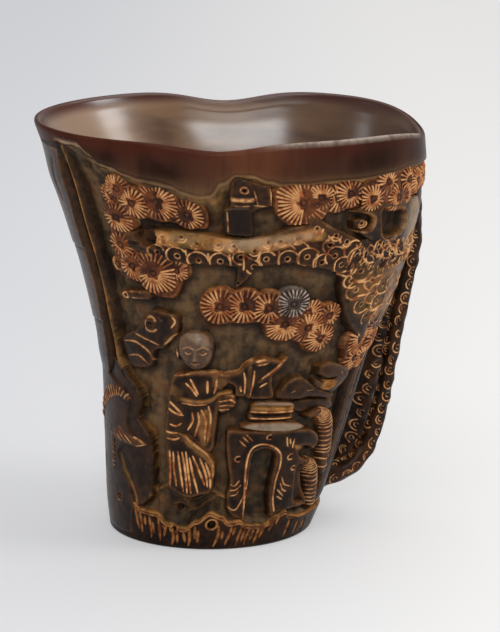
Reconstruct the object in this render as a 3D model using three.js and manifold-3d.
// Libation cup of carved horn: a flared, smooth-lipped cup whose wall carries pines, rocks,
// a scholar and a stone altar in high relief, with an openwork pine trunk for its handle.
// Millimetres, +Z up. Origin: centre of the foot on the plane the cup stands on.
// +X is the handle's end, -X the spout, -Y the front with the scholar.

import * as THREE from 'three';
import Module from 'manifold-3d';

const wasm = await Module();
wasm.setup();

// Vessel
const rimHeight = 115;
const spoutReach = 47.7;
const handleReach = 58.7;
const mouthHalfWidth = 40;
const footHalfLength = 28.4;
const footHalfWidth = 24;
const rimLift = 1.45;
const rimFlankDip = 2.5;
const rimHandleDip = 3.9;
const flankPinch = 3.9;
const lipThickness = 2.2;
const lipBevel = 0.6;
const wallThickness = 8.4;
const reliefDepth = 4.2;
const footBevel = 0.8;

// Plug that closes the horn's hollow at the foot
const footRingWidth = 10.6;
const plugLedgeHeight = 8;
const plugThickness = 11.5;
const plugClearance = 0.3;

// Relief
const seatGap = 0.3;
const rootDepth = 1.4;
const needleRadius = 4.2;
const boughWidth = 9.4;
const frondWidth = 3.6;
const stripWidth = 8;
const sashWidth = 1.9;
const archFloor = 0.6;

// Handle
const handleTrunkRadius = 3.1;
const handleBranchRadius = 3.4;
const handleStand = 10.4;
const branchStand = 6;

// How the half length and half width grow from the foot (0) to the mouth (1), by height
const stationShares = [0, 0.08, 0.24, 0.46, 0.62, 0.78, 0.89, 1];
const spoutFlareShares = [0, 0.04, 0.06, 0.1, 0.27, 0.53, 0.76, 1];
const handleFlareShares = [0, 0.12, 0.31, 0.55, 0.78, 0.96, 1.02, 1];
const widthFlareShares = [0, 0.1, 0.26, 0.46, 0.61, 0.78, 0.92, 1];

// The relief lies between two wavy lines: the collar's lower edge and the foot band's top.
// Each entry is [angle in degrees, share of the rim height], with -90 at the front.
const collarEdgeShares = [
  [-180, 0.97], [-150, 0.985], [-140, 0.985], [-131, 0.95], [-118, 0.915], [-103, 0.885], [-94, 0.93],
  [-88, 0.945], [-78, 0.917], [-62, 0.918], [-40, 0.925], [-20, 0.93], [0, 0.93], [25, 0.925],
  [55, 0.9], [80, 0.93], [105, 0.91], [130, 0.93], [150, 0.97],
];
const footBandShares = [
  [-180, 0.1], [-150, 0.1], [-134, 0.09], [-119, 0.09], [-112, 0.066], [-105, 0.057], [-98, 0.085],
  [-91, 0.1], [-84, 0.077], [-70, 0.07], [-58, 0.09], [-48, 0.065], [-30, 0.06], [0, 0.075],
  [40, 0.06], [75, 0.09], [105, 0.065], [140, 0.09],
];
const undercutShare = 0.012;
const pinchSpreadShare = 0.33;
const rimWaveStartShare = 0.6;

// Where the inside of the wall thickens from the lip (0) to its full thickness (1), by height
const hollowShares = [[0.94, 0.4], [0.86, 0.8], [0.76, 1], [0.55, 1], [0.3, 1]];
const fullDepthShare = 0.88;

const wallSegments = 56;
const groundRows = 6;

const toRadians = THREE.MathUtils.degToRad;
const { clamp, lerp, euclideanModulo } = THREE.MathUtils;

// Smooth curve through the stations, with slopes taken from their neighbours
function alongStations(shares, at) {
  const last = stationShares.length - 1;
  const knot = clamp(stationShares.findIndex((station) => station > at) - 1, 0, last - 1);
  const start = at >= 1 ? last - 1 : knot;
  const slope = (k) => {
    const below = Math.max(k - 1, 0);
    const above = Math.min(k + 1, last);
    return (shares[above] - shares[below]) / (stationShares[above] - stationShares[below]);
  };
  const span = stationShares[start + 1] - stationShares[start];
  const t = (at - stationShares[start]) / span;
  const ease = t * t * (3 - 2 * t);
  return lerp(shares[start], shares[start + 1], ease)
    + span * t * (1 - t) * (slope(start) * (1 - t) - slope(start + 1) * t);
}

function rimWave(angle) {
  const fromHandle = Math.abs(euclideanModulo(angle + 180, 360) - 180);
  const flank = Math.exp(-(((fromHandle - 92) / 14) ** 2));
  const handle = Math.exp(-((fromHandle / 26) ** 2));
  return rimLift - rimFlankDip * flank - rimHandleDip * handle;
}

// A point of the cup's outer form, moved inwards by the inset
function wallPoint(angle, share, inset) {
  const at = clamp(share, 0, 1);
  const turn = toRadians(angle);
  const spout = lerp(footHalfLength, spoutReach, alongStations(spoutFlareShares, at));
  const handle = lerp(footHalfLength, handleReach, alongStations(handleFlareShares, at));
  const pinch = flankPinch * at ** 3 * Math.exp(-((Math.cos(turn) / pinchSpreadShare) ** 2));
  const halfWidth = lerp(footHalfWidth, mouthHalfWidth, alongStations(widthFlareShares, at)) - pinch;
  const wavePart = clamp((share - rimWaveStartShare) / (1 - rimWaveStartShare), 0, 1) ** 1.5;
  return new THREE.Vector3(
    (handle - spout) / 2 + ((handle + spout) / 2 - inset) * Math.cos(turn),
    (halfWidth - inset) * Math.sin(turn),
    share * (rimHeight + rimWave(angle) * wavePart),
  );
}

// A point of the relief, by its rise above the sunk ground
function reliefPoint(angle, share, rise) {
  return wallPoint(angle, share, reliefDepth - rise);
}

// Height share of a wavy line at an angle, eased between its hand-placed points
function waveLine(points, angle) {
  const count = points.length;
  const past = points.findIndex(([pointAngle]) => pointAngle > angle);
  const next = past === -1 ? count : past;
  const [fromAngle, fromShare] = points[next - 1];
  const [toAngle, toShare] = next === count ? [points[0][0] + 360, points[0][1]] : points[next];
  const t = (angle - fromAngle) / (toAngle - fromAngle);
  return lerp(fromShare, toShare, t * t * (3 - 2 * t));
}

// Closed solid from corner points and triangles, turned to face out
function solidOf(points, faces) {
  const volume = faces.reduce((sum, [a, b, c]) => (
    sum + points[a].dot(new THREE.Vector3().crossVectors(points[b], points[c]))
  ), 0);
  const outward = volume < 0 ? faces.map(([a, b, c]) => [a, c, b]) : faces;
  const vertProperties = new Float32Array(points.flatMap((point) => point.toArray()));
  const triVerts = new Uint32Array(outward.flat());
  return new wasm.Manifold(new wasm.Mesh({ numProp: 3, vertProperties, triVerts }));
}

// Skin over rings of equal count, closed by a fan at each end or by meeting its first ring again
function loft(rings, ends = [[0, true], [rings.length - 1, false]]) {
  const count = rings[0].length;
  const points = rings.flat();
  const faces = [];
  const rows = ends.length === 0 ? rings.length : rings.length - 1;
  for (let row = 0; row < rows; row += 1) {
    for (let i = 0; i < count; i += 1) {
      const here = row * count + i;
      const beside = row * count + ((i + 1) % count);
      const above = ((row + 1) % rings.length) * count;
      const across = above + ((i + 1) % count);
      faces.push([here, beside, across], [here, across, above + i]);
    }
  }
  for (const [row, turned] of ends) {
    const middle = new THREE.Vector3();
    rings[row].forEach((point) => middle.add(point));
    points.push(middle.divideScalar(count));
    for (let i = 0; i < count; i += 1) {
      const here = row * count + i;
      const beside = row * count + ((i + 1) % count);
      faces.push(turned ? [beside, here, points.length - 1] : [here, beside, points.length - 1]);
    }
  }
  return solidOf(points, faces);
}

function wallRing(shareAt, insetAt) {
  return Array.from({ length: wallSegments }, (_, i) => {
    const angle = (i * 360) / wallSegments - 180;
    return wallPoint(angle, shareAt(angle), insetAt(angle));
  });
}

// Depth of the sunk ground, which eases out where it nears the thin lip
function groundDepth(share) {
  return reliefDepth * clamp((1 - share) / (1 - fullDepthShare), 0, 1);
}

// Outer rings: foot band, sunk ground between the wavy lines, collar and bevelled lip
function outerRings(growth) {
  const collarAt = (angle) => waveLine(collarEdgeShares, angle);
  const footAt = (angle) => waveLine(footBandShares, angle);
  const flush = () => -growth;
  const rings = [
    wallRing(() => 0, () => footBevel - growth),
    wallRing(() => footBevel / rimHeight, flush),
    wallRing((angle) => footAt(angle) + growth / rimHeight, flush),
  ];
  for (let row = 0; row <= groundRows; row += 1) {
    const shareAt = (angle) => {
      const low = footAt(angle) + undercutShare + growth / rimHeight;
      const high = collarAt(angle) - undercutShare - growth / rimHeight;
      return lerp(low, high, row / groundRows);
    };
    rings.push(wallRing(shareAt, (angle) => groundDepth(shareAt(angle)) - growth));
  }
  rings.push(
    wallRing((angle) => collarAt(angle) - growth / rimHeight, flush),
    wallRing(() => 1 - lipBevel / rimHeight, flush),
    wallRing(() => 1, () => lipBevel - growth),
  );
  return rings;
}

// Inner rings: lip, hollow, the ledge that the plug's flange rests on, and the plug's hole
function innerRings() {
  const ledgeShare = plugLedgeHeight / rimHeight;
  const hollow = hollowShares.map(([share, part]) => (
    wallRing(() => share, () => lerp(lipThickness, wallThickness, part))
  ));
  return [
    wallRing(() => 1, () => lipThickness - lipBevel),
    wallRing(() => 1 - lipBevel / rimHeight, () => lipThickness),
    ...hollow,
    wallRing(() => ledgeShare, () => wallThickness),
    wallRing(() => ledgeShare, () => footRingWidth),
    wallRing(() => 0, () => footRingWidth),
  ];
}

function hornBody() {
  return loft([...outerRings(0), ...innerRings()], []);
}

// The plug keeps its clearance in the hole, on the ledge and inside the hollow
function footPlug() {
  const core = () => footRingWidth + plugClearance;
  const flange = () => wallThickness + plugClearance;
  const seat = () => (plugLedgeHeight + plugClearance) / rimHeight;
  return loft([
    wallRing(() => 0, core),
    wallRing(seat, core),
    wallRing(seat, flange),
    wallRing(() => plugThickness / rimHeight, flange),
  ]);
}

// Millimetres along the wall for one degree, near a place
function arcPerDegree(angle, share) {
  return wallPoint(angle + 1, share, reliefDepth).distanceTo(wallPoint(angle, share, reliefDepth));
}

// Evenly spaced places on a smooth line through [angle, share] points
function smoothLine(points, count, closed) {
  const middle = points[Math.floor(points.length / 2)];
  const scale = arcPerDegree(middle[0], middle[1]);
  const knots = points.map(([angle, share]) => new THREE.Vector3(angle * scale, share * rimHeight, 0));
  const curve = new THREE.CatmullRomCurve3(knots, closed, 'centripetal');
  const places = curve.getSpacedPoints(count);
  if (closed) places.pop();
  return places.map((place) => [place.x / scale, place.y / rimHeight]);
}

// Domed mass over a closed outline; a tall one is the outline's clearance through all layers
function mass(outlineShares, rise, options = {}) {
  const { corners = 16, edgeShare = 0.55, lobes = 0, lobeShare = 0.14, flat = false } = options;
  return (growth, tall) => {
    const outline = smoothLine(outlineShares, corners, true);
    const centre = [0, 1].map((column) => (
      outline.reduce((sum, place) => sum + place[column], 0) / outline.length
    ));
    const scale = arcPerDegree(...centre);
    const ringAt = (part, height, wobble) => outline.map(([angle, share], i) => {
      const dx = (angle - centre[0]) * scale;
      const dz = (share - centre[1]) * rimHeight;
      const reach = part * (1 + growth / Math.hypot(dx, dz));
      const swell = 1 + wobble * Math.cos((lobes * 2 * Math.PI * i) / outline.length);
      const angleThere = centre[0] + (reach * dx) / scale;
      return reliefPoint(angleThere, centre[1] + (reach * dz) / rimHeight, height * swell);
    });
    if (tall) return loft([ringAt(1, -rootDepth, 0), ringAt(1, 2 * reliefDepth, 0)]);
    if (flat) return loft([ringAt(1, -rootDepth, 0), ringAt(0.96, rise, 0)]);
    const wobble = lobes > 0 ? lobeShare : 0;
    return loft([
      ringAt(1, -rootDepth, 0),
      ringAt(1, rise * edgeShare, 0),
      ringAt(0.82, rise * 0.88, wobble / 2),
      ringAt(0.45, rise, wobble),
    ]);
  };
}

// Round pine pad whose needles are flutes running out from the middle
function rosette([angle, share, radiusShare, heightShare = 1], rise, needles = 8) {
  return (growth, tall) => {
    const scale = arcPerDegree(angle, share);
    const radius = needleRadius * radiusShare + growth;
    const ringAt = (part, height, flute) => Array.from({ length: 2 * needles }, (_, i) => {
      const turn = (i * Math.PI) / needles;
      const cut = i % 2 === 0 ? 1 : 1 - flute;
      const reach = radius * part * (i % 2 === 0 ? 1 : 1 - flute / 3);
      return reliefPoint(
        angle + (reach * Math.cos(turn)) / scale,
        share + (reach * heightShare * Math.sin(turn)) / rimHeight,
        height * cut,
      );
    });
    if (tall) return loft([ringAt(1, -rootDepth, 0), ringAt(1, 2 * reliefDepth, 0)]);
    return loft([ringAt(0.9, rise * 0.3, 0), ringAt(1, rise * 0.62, 0.3), ringAt(0.34, rise, 0.06)]);
  };
}

// Pads that grow together: rosettes over a lower common bed
function padCluster(bedShares, rosettes, rise) {
  const members = [mass(bedShares, rise * 0.55, { corners: 16, flat: true })];
  rosettes.forEach((place) => members.push(rosette(place, rise)));
  return (growth, tall) => members
    .map((member) => member(growth, tall))
    .reduce((joined, member) => joined.add(member));
}

// Rounded ridge along a line of [angle, share, width share, rise share]
function ridge(stations, width, rise, options = {}) {
  const { steps = 10, across = 4, edgeShare = 0.5, ringShare = 0, base = -rootDepth } = options;
  return (growth, tall) => {
    const line = smoothLine(stations.map(([angle, share]) => [angle, share]), steps, false);
    const sized = (t, column) => {
      const place = t * (stations.length - 1);
      const below = Math.min(Math.floor(place), stations.length - 2);
      return lerp(stations[below][column], stations[below + 1][column], place - below);
    };
    const rings = line.map(([angle, share], i) => {
      const before = line[Math.max(i - 1, 0)];
      const after = line[Math.min(i + 1, line.length - 1)];
      const scale = arcPerDegree(angle, share);
      const along = new THREE.Vector2((after[0] - before[0]) * scale, (after[1] - before[1]) * rimHeight);
      along.normalize();
      const t = i / (line.length - 1);
      const half = (width * sized(t, 2)) / 2 + growth;
      const ripple = i % 2 === 0 ? 1 : 1 - ringShare;
      const crown = tall ? 2 * reliefDepth : rise * sized(t, 3) * ripple;
      const endward = (i === line.length - 1) - (i === 0);
      const offset = (side, height) => reliefPoint(
        angle + (-along.y * side * half + along.x * endward * growth) / scale,
        share + (along.x * side * half + along.y * endward * growth) / rimHeight,
        height,
      );
      const top = Array.from({ length: across + 1 }, (_, k) => {
        const side = (2 * k) / across - 1;
        const dome = tall ? 1 : lerp(edgeShare, 1, Math.sqrt(1 - side * side));
        return offset(side, crown * dome);
      });
      const bed = Array.from({ length: across + 1 }, (_, k) => offset(1 - (2 * k) / across, base));
      return [...top, ...bed];
    });
    return loft(rings);
  };
}

// Round limb through the air along wall places given as [angle, share, stand share, width share]
function limb(stations, stand, radius, sides) {
  return (growth) => {
    const knots = stations.map(([angle, share, standShare]) => (
      reliefPoint(angle, share, stand * standShare)
    ));
    const curve = new THREE.CatmullRomCurve3(knots, false, 'centripetal');
    const steps = 3 * (stations.length - 1);
    const rings = Array.from({ length: steps + 1 }, (_, i) => {
      const t = i / steps;
      const centre = curve.getPoint(t);
      const along = curve.getTangent(t);
      const sideways = new THREE.Vector3(0, 1, 0).addScaledVector(along, -along.y).normalize();
      const outward = new THREE.Vector3().crossVectors(sideways, along);
      const below = Math.min(Math.floor(t * (stations.length - 1)), stations.length - 2);
      const size = lerp(stations[below][3], stations[below + 1][3], t * (stations.length - 1) - below);
      const knotted = 1 + 0.07 * Math.cos(i * 2.4);
      const reach = radius * size * knotted + growth;
      return Array.from({ length: sides }, (_, k) => {
        const turn = (2 * Math.PI * k) / sides;
        return centre.clone()
          .addScaledVector(sideways, reach * Math.cos(turn))
          .addScaledVector(outward, reach * Math.sin(turn));
      });
    });
    return loft(rings);
  };
}

const horn = {
  dark: 0x2c1f1b, brown: 0x47301f, ochre: 0x8a5a2e, olive: 0x3a3122, grey: 0x6d6259, tan: 0xa07a4c,
};
const members = [];

function carve(name, tone, form) {
  members.push({ name, tone, form });
}

// Handle: an openwork pine trunk with a second branch behind it
carve('handle_trunk', horn.dark, limb([
  [4, 0.86, -0.1, 1.15], [6, 0.79, 0.22, 1.1], [7, 0.68, 0.56, 1], [8, 0.56, 0.8, 0.95],
  [9, 0.44, 1.04, 0.95], [10, 0.32, 1.19, 0.92], [11, 0.22, 1.2, 0.9], [11, 0.15, 1.09, 0.9],
  [10, 0.105, 0.78, 0.95], [8, 0.072, 0.1, 1],
], handleStand, handleTrunkRadius, 8));
carve('handle_back_branch', horn.dark, limb([
  [19, 0.8, -0.1, 1], [21, 0.7, 0.5, 1.05], [23, 0.55, 0.9, 1], [25, 0.4, 1, 1], [26, 0.27, 0.95, 1],
  [24, 0.17, 0.4, 1], [22, 0.12, -0.2, 1],
], branchStand, handleBranchRadius, 8));

// Scholar
carve('scholar_head', horn.grey, mass([
  [-112.8, 0.52], [-112, 0.487], [-108.5, 0.46], [-104, 0.458], [-100.8, 0.487], [-99.8, 0.52],
  [-102, 0.548],
  [-106, 0.558], [-110.5, 0.548],
], 1.12 * reliefDepth, { corners: 16, edgeShare: 0.5 }));
carve('scholar_hands', horn.brown, mass([
  [-97, 0.4], [-97.5, 0.372], [-94, 0.352], [-89.5, 0.352], [-87, 0.372], [-88.5, 0.395],
  [-92.5, 0.408],
], 1.02 * reliefDepth, { corners: 12 }));
carve('scholar_raised_arm', horn.dark, ridge([
  [-93.5, 0.44, 0.7, 0.7], [-89, 0.445, 0.95, 0.85], [-84, 0.45, 1.25, 0.95], [-79, 0.45, 1.4, 1],
  [-74, 0.455, 1.2, 0.95], [-70, 0.472, 0.75, 0.8],
], stripWidth, reliefDepth, { steps: 8 }));
carve('scholar_sash', horn.ochre, ridge([
  [-119.5, 0.302, 0.8, 0.8], [-113, 0.3, 0.9, 0.85], [-107, 0.284, 1, 0.9], [-102, 0.262, 1, 0.95],
  [-97.8, 0.235, 1, 0.95], [-96, 0.195, 0.95, 0.9], [-94.5, 0.152, 0.8, 0.8],
], sashWidth, reliefDepth, { steps: 10, across: 2 }));
carve('scholar_robe', horn.dark, ridge([
  [-108.5, 0.3, 2.1, 0.85], [-108.5, 0.34, 2.15, 0.92], [-107.8, 0.38, 2.15, 0.98],
  [-106.5, 0.42, 2, 0.95],
  [-105, 0.45, 1.7, 0.82], [-104.5, 0.465, 1.2, 0.7],
], stripWidth, reliefDepth, { steps: 8, across: 6 }));
carve('scholar_skirt', horn.brown, mass([
  [-119, 0.288], [-118, 0.22], [-116, 0.16], [-111, 0.145], [-104, 0.125], [-98, 0.135], [-97, 0.175],
  [-98, 0.215],
  [-102, 0.24], [-108, 0.27], [-113, 0.285],
], 0.78 * reliefDepth, { corners: 20, edgeShare: 0.75 }));

// Stone altar: vessel tiers on a slab on a tall arched block
carve('altar_tiers', horn.tan, mass([
  [-80.5, 0.345], [-80.8, 0.385], [-76, 0.383], [-70, 0.378], [-64.5, 0.38], [-63.5, 0.345],
  [-70, 0.338],
], 0.86 * reliefDepth, { corners: 14, edgeShare: 0.85 }));
carve('altar_slab', horn.grey, ridge([
  [-85.5, 0.323, 0.3, 0.7], [-80, 0.324, 0.44, 0.95], [-72, 0.322, 0.5, 1], [-64, 0.318, 0.46, 0.95],
  [-57.5, 0.311, 0.25, 0.7],
], stripWidth, 1.08 * reliefDepth, { steps: 8, edgeShare: 0.8 }));
carve('altar_block', horn.dark, (growth, tall) => {
  const block = mass([
    [-87, 0.3], [-85, 0.308], [-72, 0.303], [-58.5, 0.293], [-53, 0.27], [-48.5, 0.22], [-46, 0.16],
    [-44.5, 0.1],
    [-50, 0.096], [-60, 0.104], [-72, 0.092], [-85, 0.1], [-87.5, 0.14], [-88.5, 0.22],
  ], 0.82 * reliefDepth, { corners: 26, edgeShare: 0.9 })(growth, tall);
  if (tall) return block;
  const archway = ridge([
    [-71.5, 0.06, 1.12, 1], [-71.8, 0.12, 1.12, 1], [-72.5, 0.2, 1.02, 1], [-73, 0.25, 0.8, 1],
    [-73, 0.274, 0.4, 1],
  ], stripWidth, 2 * reliefDepth, { steps: 8, across: 2, base: archFloor })(0, false);
  return block.subtract(archway);
});

// Pine boughs over the front
carve('bough_main', horn.tan, (growth, tall) => {
  const bough = ridge([
    [-121, 0.762, 0.7, 0.75], [-112, 0.765, 1, 0.9], [-101, 0.757, 0.95, 1], [-90, 0.755, 0.95, 1],
    [-79, 0.757, 1, 1], [-68, 0.757, 1.1, 1], [-57, 0.742, 1.05, 1], [-50, 0.728, 0.9, 0.95],
  ], boughWidth, reliefDepth, { steps: 14, across: 4, edgeShare: 0.45, ringShare: 0.05 })(growth, tall);
  const stub = ridge([
    [-88, 0.735, 0.7, 0.9], [-90, 0.7, 0.55, 0.85], [-92, 0.675, 0.3, 0.6],
  ], boughWidth, reliefDepth, { steps: 4 })(growth, tall);
  const shoot = ridge([
    [-64, 0.775, 0.5, 0.9], [-66.5, 0.805, 0.42, 0.8], [-68.5, 0.835, 0.25, 0.6],
  ], boughWidth, reliefDepth, { steps: 4 })(growth, tall);
  return bough.add(stub).add(shoot);
});
carve('trunk_right', horn.brown, ridge([
  [-48.5, 0.735, 0.6, 0.8], [-44, 0.705, 0.95, 0.95], [-41, 0.655, 1.15, 1], [-37.5, 0.61, 1.1, 1],
  [-33, 0.56, 0.85, 0.9], [-30, 0.53, 0.5, 0.7],
], boughWidth, reliefDepth, { steps: 12, across: 5, ringShare: 0.1 }));
carve('bough_right', horn.tan, ridge([
  [-41, 0.748, 0.3, 0.7], [-34, 0.735, 0.55, 0.9], [-27, 0.72, 0.65, 0.95], [-20, 0.705, 0.5, 0.85],
], boughWidth, reliefDepth, { steps: 8 }));
carve('burl_knob', horn.dark, mass([
  [-94.5, 0.82], [-94.8, 0.87], [-93, 0.915], [-89, 0.935], [-84.5, 0.918], [-81.5, 0.895], [-81, 0.85],
  [-83, 0.815], [-89, 0.802],
], 0.95 * reliefDepth, { corners: 18, lobes: 3, edgeShare: 0.7 }));
carve('cut_branch_stub', horn.ochre, ridge([
  [-139.5, 0.625, 0.32, 0.85], [-134, 0.63, 0.34, 0.9], [-128, 0.634, 0.36, 0.85],
], boughWidth, reliefDepth, { steps: 4, edgeShare: 0.35 }));

// Pine pads of the front
carve('pine_pad_left_fan', horn.ochre, padCluster([
  [-125, 0.7], [-124.5, 0.665], [-121, 0.64], [-116.5, 0.636], [-113, 0.66], [-111.3, 0.695],
  [-113, 0.72],
  [-119, 0.725],
], [[-121, 0.692, 0.95], [-117, 0.672, 1.05], [-114.5, 0.695, 0.7]], 0.9 * reliefDepth));
carve('pine_pad_upper_left', horn.ochre, padCluster([
  [-134.5, 0.885], [-128, 0.903], [-119, 0.897], [-109, 0.885], [-102.5, 0.86], [-100.5, 0.83],
  [-106, 0.818],
  [-115, 0.828], [-124, 0.832], [-132, 0.858],
], [
  [-129.5, 0.882, 0.75], [-123.8, 0.862, 1], [-114.5, 0.86, 0.95], [-105.5, 0.845, 0.95],
], 0.92 * reliefDepth));
carve('pine_pad_left_column', horn.ochre, padCluster([
  [-138, 0.852], [-131, 0.845], [-127.5, 0.8], [-127.5, 0.74], [-127, 0.69], [-131, 0.665],
  [-138, 0.672],
  [-140.3, 0.72], [-139.5, 0.78],
], [[-132.3, 0.815, 0.95], [-133.8, 0.753, 0.85], [-131.8, 0.703, 0.95]], 0.92 * reliefDepth));
carve('pine_pad_upper_right', horn.ochre, padCluster([
  [-79, 0.905], [-78.5, 0.855], [-73, 0.83], [-68, 0.838], [-60, 0.852], [-53, 0.845], [-48.5, 0.842],
  [-48, 0.875], [-49, 0.905], [-57, 0.908], [-68, 0.902],
], [[-74.5, 0.868, 1.05], [-68, 0.872, 0.75], [-58, 0.878, 0.85]], 0.92 * reliefDepth));
carve('pine_pad_upper_outer', horn.ochre, padCluster([
  [-46.5, 0.9], [-46.5, 0.85], [-38, 0.838], [-29, 0.832], [-19, 0.85], [-14, 0.885], [-19, 0.912],
  [-33, 0.918],
], [[-43, 0.868, 1.1], [-35.5, 0.89, 0.8], [-31, 0.858, 0.85], [-24, 0.888, 0.85]], 0.95 * reliefDepth));
carve('pine_pad_middle_left', horn.ochre, padCluster([
  [-104.5, 0.645], [-105.5, 0.6], [-102, 0.578], [-94, 0.578], [-85, 0.578], [-78.5, 0.59],
  [-77.5, 0.63],
  [-79.5, 0.652], [-88, 0.652], [-97, 0.655],
], [[-99.5, 0.615, 1.05], [-90.5, 0.615, 1], [-81.8, 0.617, 0.9]], 0.9 * reliefDepth));
carve('pine_pad_middle_round', horn.grey, padCluster([
  [-75.5, 0.6], [-77, 0.63], [-74, 0.658], [-69, 0.656], [-66, 0.628], [-67.5, 0.598],
], [[-71.5, 0.625, 1.05, 0.95]], 0.98 * reliefDepth));
carve('pine_pad_middle_right', horn.ochre, padCluster([
  [-79.5, 0.56], [-76.5, 0.54], [-69, 0.535], [-62.5, 0.525], [-58.5, 0.505], [-53, 0.508],
  [-50.5, 0.54],
  [-52, 0.585], [-57, 0.61], [-63, 0.615], [-66, 0.585], [-72, 0.572],
], [[-74.5, 0.562, 0.85], [-64, 0.572, 0.85], [-56.5, 0.54, 0.95]], 0.88 * reliefDepth));
carve('pine_pad_small_right', horn.ochre, padCluster([
  [-35, 0.47], [-36, 0.5], [-30, 0.535], [-24, 0.53], [-21, 0.49], [-24, 0.445], [-31, 0.43],
], [[-29.5, 0.5, 0.85], [-29, 0.458, 0.7]], 0.9 * reliefDepth));

// Rocks and plants of the front
carve('cloud_rock_left', horn.brown, mass([
  [-139, 0.455], [-140, 0.5], [-135, 0.545], [-131, 0.59], [-124, 0.61], [-116.5, 0.6], [-114, 0.56],
  [-118.5, 0.535], [-121, 0.5], [-124, 0.462], [-131, 0.445],
], 0.85 * reliefDepth, { corners: 20, lobes: 5 }));
carve('cloud_rock_hook', horn.dark, mass([
  [-58.5, 0.43], [-58.5, 0.46], [-54, 0.475], [-47, 0.474], [-41, 0.455], [-38.5, 0.42], [-42, 0.392],
  [-49, 0.395], [-53, 0.405],
], 0.95 * reliefDepth, { corners: 16, lobes: 2 }));
carve('cloud_rock_right', horn.dark, mass([
  [-75, 0.4], [-72, 0.43], [-66, 0.447], [-60, 0.42], [-53, 0.39], [-44, 0.378], [-45, 0.35],
  [-54, 0.338],
  [-61.5, 0.35], [-62, 0.385], [-70, 0.392],
], 0.7 * reliefDepth, { corners: 18, lobes: 3 }));
carve('ringed_frond_tall', horn.tan, ridge([
  [-50.5, 0.328, 0.8, 0.8], [-46, 0.333, 0.95, 0.95], [-43.5, 0.31, 1.1, 1], [-42, 0.27, 1.15, 1],
  [-38.5, 0.23, 1.1, 1], [-35.5, 0.19, 1, 0.95], [-34, 0.165, 0.7, 0.7],
], frondWidth, reliefDepth, { steps: 14, across: 2, ringShare: 0.14 }));
carve('ringed_frond_short', horn.tan, ridge([
  [-43, 0.205, 0.8, 0.85], [-41, 0.18, 1.1, 1], [-40, 0.14, 1.15, 1], [-38.5, 0.1, 1, 0.9],
  [-38, 0.078, 0.7, 0.7],
], frondWidth, reliefDepth, { steps: 10, across: 2, ringShare: 0.14 }));
carve('fern_frond_left', horn.ochre, ridge([
  [-157, 0.35, 0.6, 0.7], [-151, 0.37, 1, 0.9], [-144, 0.372, 1.1, 0.95], [-139.5, 0.35, 0.6, 0.7],
], frondWidth, 0.95 * reliefDepth, { steps: 8, across: 3, ringShare: 0.12 }));
carve('veined_leaf_left', horn.brown, ridge([
  [-153, 0.285, 0.5, 0.7], [-146, 0.28, 1.6, 0.85], [-138, 0.268, 1.5, 0.9], [-131, 0.262, 0.6, 0.7],
  [-128, 0.262, 0.25, 0.55],
], frondWidth, 0.95 * reliefDepth, { steps: 8, across: 4 }));
carve('base_rock_left', horn.dark, mass([
  [-170, 0.125], [-172, 0.22], [-165, 0.31], [-150, 0.33], [-136, 0.33], [-126.5, 0.29], [-124.5, 0.2],
  [-124, 0.14], [-130, 0.112], [-150, 0.118],
], 0.72 * reliefDepth, { corners: 22, lobes: 4 }));
carve('spout_rock', horn.dark, ridge([
  [-178, 0.36, 2.2, 0.75], [-178, 0.45, 2.6, 0.8], [-179, 0.6, 2.9, 0.85], [-180, 0.78, 3.7, 0.9],
  [-181, 0.9, 4.4, 0.95], [-182, 0.945, 4.6, 0.95],
], stripWidth, reliefDepth, { steps: 9, across: 8, edgeShare: 0.75 }));
carve('spout_rock_fold', horn.olive, ridge([
  [-140.5, 0.4, 0.5, 0.6], [-146, 0.5, 0.55, 0.7], [-146.5, 0.62, 0.42, 0.75], [-146, 0.75, 0.45, 0.8],
  [-144, 0.86, 0.72, 0.85], [-141.5, 0.94, 0.9, 0.85],
], stripWidth, reliefDepth, { steps: 10, across: 3 }));
carve('ridge_rock_right', horn.grey, ridge([
  [-12, 0.12, 1.2, 0.8], [-12, 0.22, 1.2, 0.9], [-13, 0.34, 1.25, 1], [-13, 0.46, 1.3, 1],
  [-12, 0.58, 1.2, 1], [-9, 0.68, 1, 0.9], [-8, 0.745, 0.7, 0.8],
], stripWidth, 0.85 * reliefDepth, { steps: 9, across: 3, edgeShare: 0.6 }));

// Back: the same landscape carried round, with no figure
carve('back_trunk', horn.brown, ridge([
  [38, 0.14, 0.9, 0.9], [44, 0.24, 1, 1], [46, 0.36, 1, 1], [54, 0.48, 1.05, 1], [66, 0.58, 1.05, 1],
  [80, 0.67, 1, 1], [95, 0.74, 0.9, 0.95], [108, 0.79, 0.6, 0.8],
], boughWidth, reliefDepth, { steps: 16, across: 4, ringShare: 0.08 }));
carve('back_bough_low', horn.brown, ridge([
  [63, 0.47, 0.6, 0.85], [78, 0.46, 0.75, 0.95], [94, 0.49, 0.7, 0.95], [108, 0.54, 0.4, 0.75],
], boughWidth, reliefDepth, { steps: 12, across: 4 }));
carve('back_pad_upper', horn.ochre, padCluster([
  [76, 0.83], [80, 0.8], [92, 0.81], [108, 0.825], [126, 0.822], [133, 0.85], [122, 0.878], [98, 0.885],
  [82, 0.872],
], [[86, 0.838, 1.15], [97, 0.858, 1], [109, 0.866, 1.05], [122, 0.856, 1.2]], 0.92 * reliefDepth));
carve('back_pad_shoulder', horn.ochre, padCluster([
  [36, 0.86], [34, 0.8], [44, 0.75], [56, 0.75], [64, 0.8], [60, 0.86], [48, 0.885],
], [[43, 0.83, 1.1], [54, 0.82, 1.2]], 0.92 * reliefDepth));
carve('back_pad_middle', horn.ochre, padCluster([
  [104, 0.68], [102, 0.62], [112, 0.585], [126, 0.59], [134, 0.64], [130, 0.7], [118, 0.72],
], [[110, 0.645, 1.1], [122, 0.655, 1.2]], 0.9 * reliefDepth));
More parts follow.
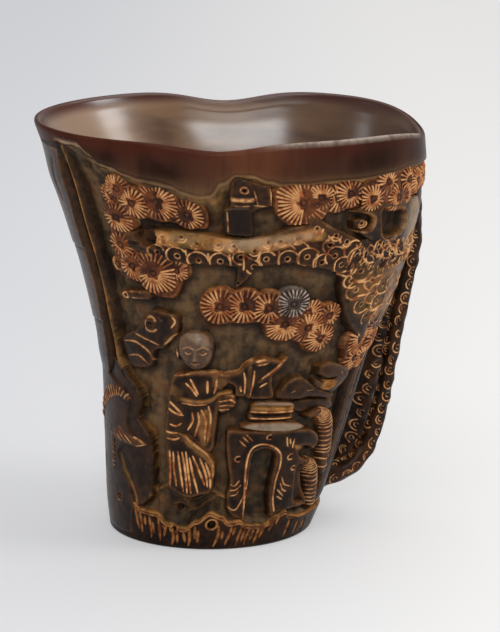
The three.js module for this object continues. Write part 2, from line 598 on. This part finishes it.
carve('back_pad_low', horn.ochre, padCluster([
  [72, 0.33], [70, 0.38], [80, 0.42], [92, 0.42], [98, 0.37], [90, 0.32], [80, 0.31],
], [[78, 0.365, 1.05], [89, 0.37, 1.1]], 0.9 * reliefDepth));
carve('back_cloud_rock', horn.dark, mass([
  [112, 0.34], [108, 0.42], [116, 0.49], [130, 0.52], [142, 0.5], [146, 0.42], [140, 0.35], [126, 0.31],
], 0.85 * reliefDepth, { corners: 20, lobes: 5 }));
carve('back_base_rock', horn.brown, mass([
  [58, 0.12], [54, 0.19], [64, 0.26], [82, 0.275], [104, 0.26], [124, 0.27], [136, 0.23], [140, 0.16],
  [126, 0.125],
  [104, 0.1], [78, 0.115],
], 0.75 * reliefDepth, { corners: 24, lobes: 6 }));
carve('back_ridge_rock', horn.dark, ridge([
  [152, 0.16, 0.9, 0.8], [153, 0.3, 1.1, 0.9], [152, 0.46, 1.1, 1], [149, 0.62, 1.2, 1],
  [146, 0.78, 1.5, 0.95],
  [143, 0.86, 1.3, 0.85],
], stripWidth, reliefDepth, { steps: 9, across: 3 }));

const cup = new THREE.Group();

function addMesh(name, solid, tone, roughness) {
  const { vertProperties, triVerts } = solid.getMesh();
  const geometry = new THREE.BufferGeometry();
  geometry.setAttribute('position', new THREE.BufferAttribute(vertProperties, 3));
  geometry.setIndex(new THREE.BufferAttribute(triVerts, 1));
  const material = new THREE.MeshStandardMaterial({ color: tone, roughness, metalness: 0 });
  const mesh = new THREE.Mesh(geometry, material);
  mesh.name = name;
  cup.add(mesh);
}

// The largest body of a cut piece, without the slivers that cuts leave
function largestBody(solid) {
  const bodies = solid.asOriginal().simplify(seatGap / 3).decompose();
  return bodies.reduce((largest, body) => (body.volume() > largest.volume() ? body : largest));
}

addMesh('horn_body', hornBody(), 0x33231d, 0.3);
addMesh('foot_plug', footPlug(), 0x2a1c17, 0.4);

// Each member gives way to the ground under it and to the members carved over it
const ground = loft(outerRings(seatGap));
let taken = null;
for (const { name, tone, form } of members) {
  const whole = form(0, false).subtract(ground);
  addMesh(name, largestBody(taken ? whole.subtract(taken) : whole), tone, 0.35);
  const clearance = form(seatGap, true);
  taken = taken ? taken.add(clearance) : clearance;
}

export default cup;
